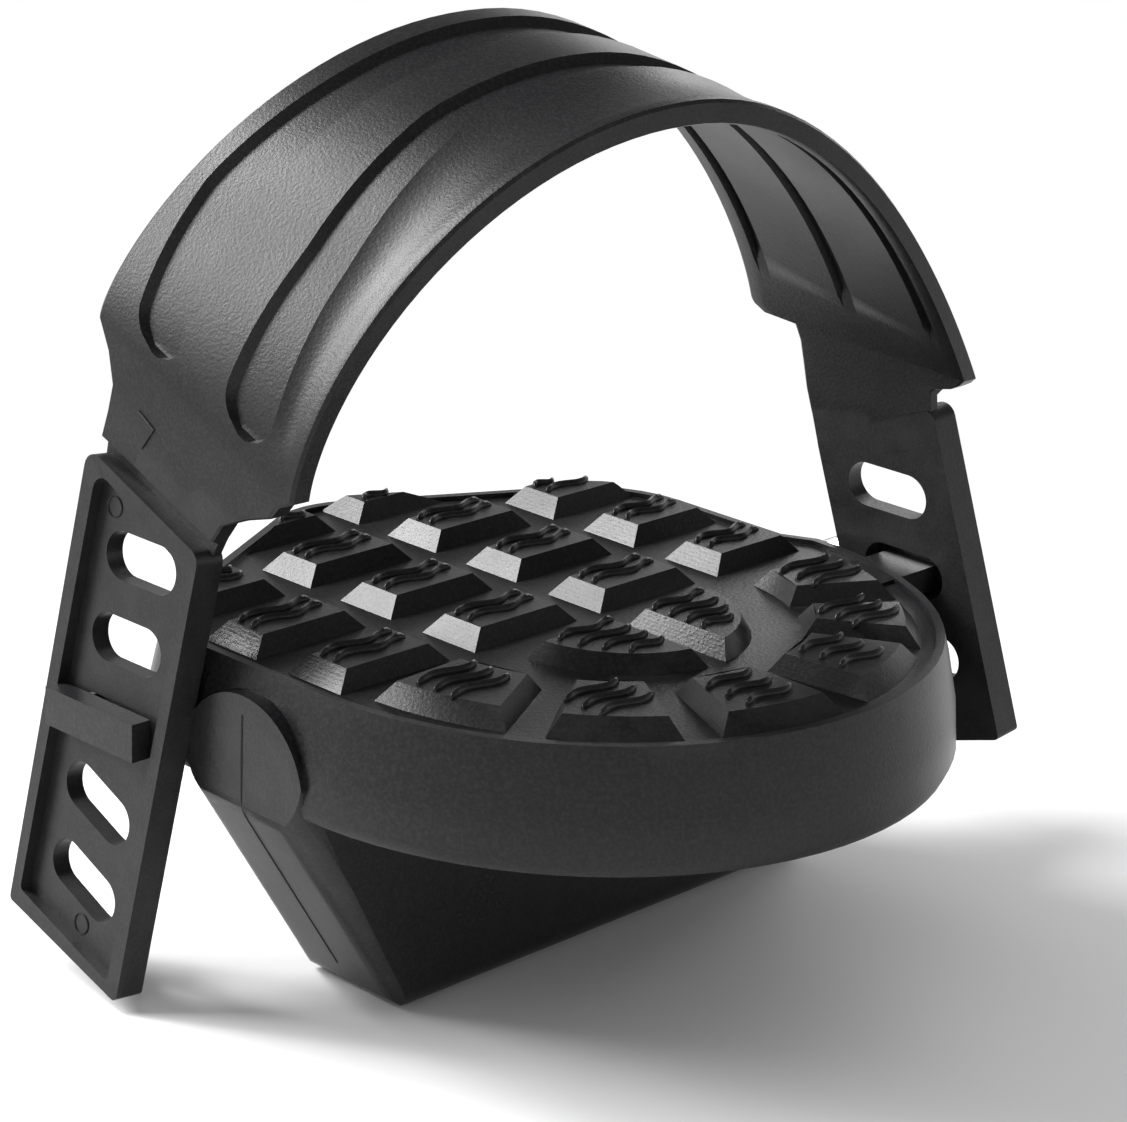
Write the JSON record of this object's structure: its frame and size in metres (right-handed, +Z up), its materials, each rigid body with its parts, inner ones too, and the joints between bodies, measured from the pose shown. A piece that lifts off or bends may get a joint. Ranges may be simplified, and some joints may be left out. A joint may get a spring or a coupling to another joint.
{
  "type": "bicycle pedal",
  "caption": "Right-hand exercise cycle pedal: blocked tread over a weighted keel, slotted toe strap hung on hooks, and a threaded spindle turning on balls in a sleeve.",
  "frame": {"origin": "centre of the spindle's shoulder face, where it meets the crank", "axes": "+Y along the spindle into the crank, +X towards the toes, +Z up from the tread"},
  "size_m": [0.1103, 0.1331, 0.1279],
  "materials": {
    "body_plastic": "black, satin, fine moulded grain",
    "strap_plastic": "black, flexible, fine moulded grain",
    "weight_steel": "as sawn",
    "plated_steel": "zinc plated",
    "spindle_steel": "turned and plated",
    "nut_plastic": "black, satin",
    "seal_rubber": "matt",
    "bush_plastic": "natural ivory",
    "bearing_steel": "ground",
    "ball_steel": "polished",
    "cage_brass": "pressed"
  },
  "bodies": {
    "pedal": {"pedal_body": "body_plastic", "toe_strap": "strap_plastic", "counterweight": "weight_steel", "weight_cover": "body_plastic", "cover_screws": "plated_steel", "retaining_nut": "nut_plastic", "axle_seal": "seal_rubber", "crank_side_bush": "bush_plastic", "axle_sleeve": "plated_steel", "inner_cup": "bearing_steel", "outer_cup": "bearing_steel"},
    "spindle": {"spindle": "spindle_steel", "inner_cone": "bearing_steel", "adjusting_cone": "bearing_steel", "keyed_washer": "plated_steel", "locknut": "plated_steel"},
    "inner_ball_row": {"inner_balls": "ball_steel", "inner_ball_cage": "cage_brass"},
    "outer_ball_row": {"outer_balls": "ball_steel", "outer_ball_cage": "cage_brass"}
  },
  "joints": [
    {"name": "spindle_spin", "type": "hinge", "parent": "pedal", "child": "spindle", "pos_m": [0, 0, 0], "axis": [0, 1, 0], "continuous": true},
    {"name": "inner_row_spin", "type": "hinge", "parent": "pedal", "child": "inner_ball_row", "pos_m": [0, -0.078, 0], "axis": [0, 1, 0], "continuous": true},
    {"name": "outer_row_spin", "type": "hinge", "parent": "pedal", "child": "outer_ball_row", "pos_m": [0, -0.092, 0], "axis": [0, 1, 0], "continuous": true}
  ],
  "couplings": [
    {"joint": "inner_row_spin", "follows": "spindle_spin", "ratio": 0.3663},
    {"joint": "outer_row_spin", "follows": "spindle_spin", "ratio": 0.3663}
  ]
}
